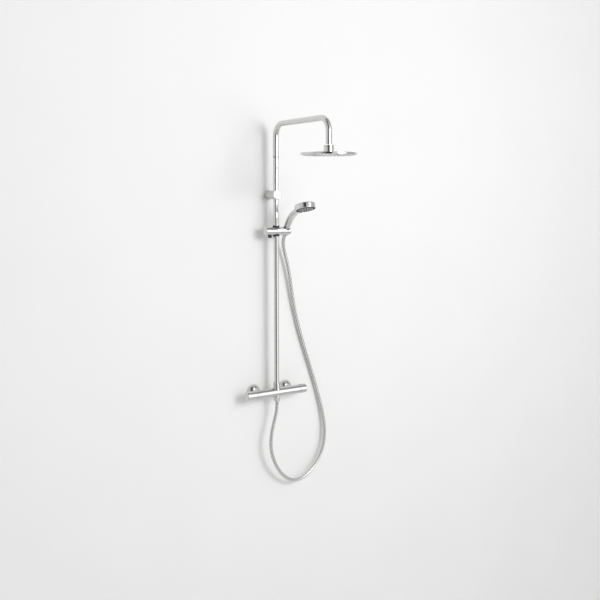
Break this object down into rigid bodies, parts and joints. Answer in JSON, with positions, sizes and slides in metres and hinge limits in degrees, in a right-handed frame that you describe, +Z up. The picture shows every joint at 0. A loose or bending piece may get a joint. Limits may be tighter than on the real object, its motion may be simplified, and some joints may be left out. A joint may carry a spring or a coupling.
{
  "type": "rainfall shower column",
  "caption": "Wall-mounted bar mixer with a riser, overhead arm and thin round rain head, and a hand shower on a height-adjustable slider with a hose.",
  "frame": {"origin": "on the wall plane, midway between the two inlets, at the height of the mixer's axis", "axes": "+Z up along the riser, +Y into the wall, -Y out towards the bather, +X towards the temperature handle"},
  "size_m": [0.4056, 0.541, 1.4684],
  "materials": {
    "chrome": "polished chrome plating on brass and steel",
    "plated_plastic": "bright chrome plating on ABS",
    "brass": "plain machined brass",
    "black_plastic": "fine satin black",
    "charcoal_plastic": "satin charcoal",
    "white_plastic": "plain acetal",
    "button_grey": "satin grey",
    "soft_nozzle": "matte silicone",
    "seal_rubber": "matte rubber",
    "spring_steel": "drawn wire",
    "steel": "plain stainless steel",
    "hose_cover": "silver-effect PVC with a fine spiral rib"
  },
  "bodies": {
    "column": {"mixer_body": "chrome", "inlet_unions": "brass", "escutcheons": "chrome", "union_nuts": "chrome", "union_washers": "seal_rubber", "check_valves": "black_plastic", "thermostat_cartridge": "black_plastic", "diverter_cartridge": "black_plastic", "riser_nut": "chrome", "riser_seal": "seal_rubber", "lower_riser": "chrome", "riser_spigot": "chrome", "spigot_o_rings": "seal_rubber", "bracket_base": "steel", "bracket_body": "chrome", "bracket_cover": "chrome", "bracket_liner": "white_plastic", "bracket_grub_screw": "steel", "hose": "hose_cover", "hose_hex_nut": "chrome", "hose_washer": "seal_rubber", "hose_lower_ferrule": "plated_plastic"},
    "diverter": {"diverter_handle": "chrome", "diverter_handle_cap": "chrome", "diverter_handle_screw": "steel", "diverter_spindle": "brass"},
    "thermostat": {"temperature_handle": "chrome", "temperature_handle_cap": "chrome", "temperature_handle_screw": "steel", "temperature_spindle": "brass", "stop_button_spring": "spring_steel"},
    "stop_button": {"stop_button": "button_grey"},
    "telescope": {"telescope_bush": "black_plastic"},
    "arm": {"arm_tube": "chrome", "arm_set_screw": "steel", "ball_stem": "chrome"},
    "ball_seat": {"ball_seat_ring": "white_plastic"},
    "rain_head": {"ball_joint_nut": "chrome", "ball_seal": "seal_rubber", "head_top_shell": "chrome", "head_face_plate": "chrome", "head_nozzle_mat": "soft_nozzle"},
    "slider_carriage": {"slider_liner": "white_plastic"},
    "slider": {"slider_body": "plated_plastic", "slider_end_cap": "plated_plastic", "slider_bush": "black_plastic", "brake_shoe": "white_plastic", "holder_pivot": "steel", "slider_button_spring": "spring_steel"},
    "slider_button": {"slider_button": "black_plastic"},
    "holder": {"holder_body": "plated_plastic", "holder_insert": "black_plastic"},
    "handset": {"handset_body": "plated_plastic", "handset_inlet": "brass", "handset_washer": "seal_rubber", "hose_cone_nut": "chrome", "hose_upper_ferrule": "plated_plastic"},
    "spray_selector": {"spray_ring": "charcoal_plastic", "spray_face": "charcoal_plastic", "handset_nozzles": "soft_nozzle"}
  },
  "joints": [
    {"name": "diverter_turn", "type": "hinge", "parent": "column", "child": "diverter", "pos_m": [-0.0955, -0.06, 0], "axis": [-1, 0, 0], "range_deg": [-90, 90]},
    {"name": "temperature_turn", "type": "hinge", "parent": "column", "child": "thermostat", "pos_m": [0.105, -0.06, 0], "axis": [1, 0, 0], "range_deg": [-170, 60]},
    {"name": "stop_button_press", "type": "slide", "parent": "thermostat", "child": "stop_button", "axis": [0, 0, -1], "range_m": [0, 0.0025], "stiffness_N_per_m": 300, "springref_m": -0.004, "deforming": ["stop_button_spring"]},
    {"name": "arm_height", "type": "slide", "parent": "column", "child": "telescope", "axis": [0, 0, 1], "range_m": [0, 0.025]},
    {"name": "arm_swing", "type": "hinge", "parent": "telescope", "child": "arm", "pos_m": [0, -0.06, 0.933], "axis": [0, 0, 1], "range_deg": [-60, 60]},
    {"name": "head_tilt_fore", "type": "hinge", "parent": "arm", "child": "ball_seat", "pos_m": [0, -0.423, 0.948], "axis": [1, 0, 0], "range_deg": [-10, 10]},
    {"name": "head_tilt_side", "type": "hinge", "parent": "ball_seat", "child": "rain_head", "pos_m": [0, -0.423, 0.948], "axis": [0, 1, 0], "range_deg": [-10, 10]},
    {"name": "slider_height", "type": "slide", "parent": "column", "child": "slider_carriage", "axis": [0, 0, 1], "range_m": [-0.3, 0.085], "deforming": ["hose"]},
    {"name": "slider_turn", "type": "hinge", "parent": "slider_carriage", "child": "slider", "pos_m": [0, -0.06, 0.647], "axis": [0, 0, 1], "range_deg": [-45, 20]},
    {"name": "slider_button_press", "type": "slide", "parent": "slider", "child": "slider_button", "axis": [0, 0, 1], "range_m": [0, 0.004], "stiffness_N_per_m": 600, "springref_m": -0.003, "deforming": ["slider_button_spring"]},
    {"name": "holder_tilt", "type": "hinge", "parent": "slider", "child": "holder", "pos_m": [0.02, -0.06, 0.647], "axis": [1, 0, 0], "range_deg": [-25, 20]},
    {"name": "handset_lift", "type": "slide", "parent": "holder", "child": "handset", "axis": [0, -0.5, 0.866], "range_m": [0, 0.05]},
    {"name": "spray_turn", "type": "hinge", "parent": "handset", "child": "spray_selector", "pos_m": [0.045, -0.204, 0.732], "axis": [0, -0.3007, -0.9537], "range_deg": [-45, 45]}
  ]
}
